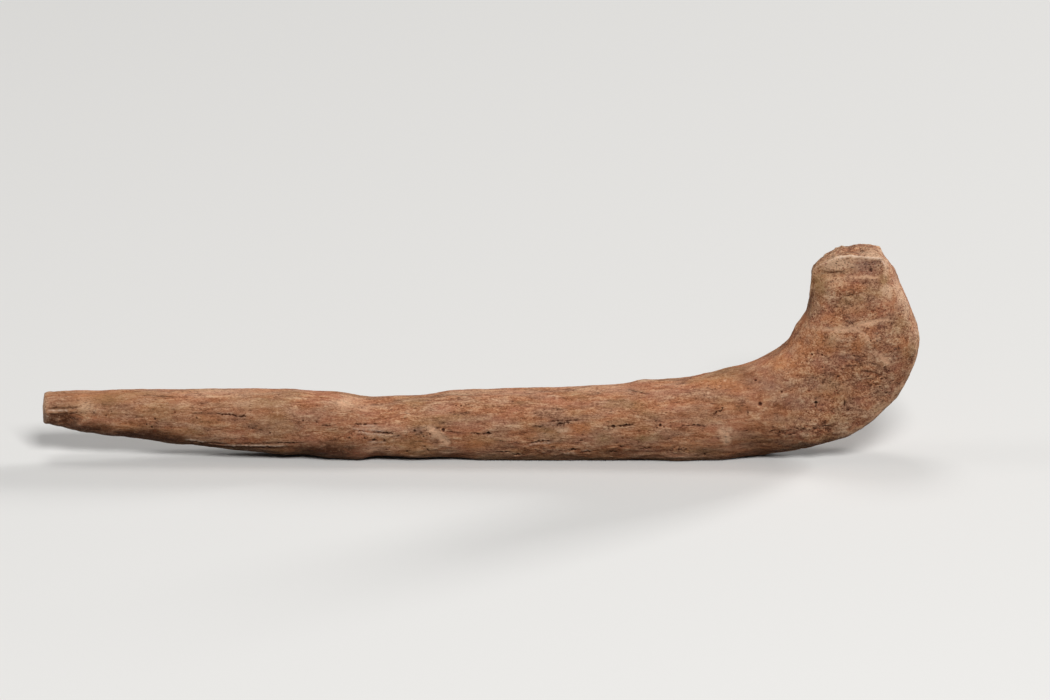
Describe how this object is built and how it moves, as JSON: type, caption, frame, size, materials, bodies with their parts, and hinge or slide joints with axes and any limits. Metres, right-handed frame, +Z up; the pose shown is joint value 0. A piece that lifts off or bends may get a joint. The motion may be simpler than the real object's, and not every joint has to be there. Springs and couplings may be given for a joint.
{
  "type": "fish hook",
  "caption": "Carved bone fish hook: long tapered shank, thick rounded bend and short upright arm whose point is broken off.",
  "frame": {"origin": "on the surface the hook stands on, under the middle of its length and of its thickness", "axes": "+X along the shank from the line end to the bend, +Y through the thickness of the bone, +Z up along the arm"},
  "size_m": [0.0866, 0.0074, 0.0213],
  "materials": {
    "bone": "dry weathered bone, warm brown, matt with a faint polish on worn edges"
  },
  "bodies": {
    "root": {"hook_body": "bone"}
  },
  "joints": []
}
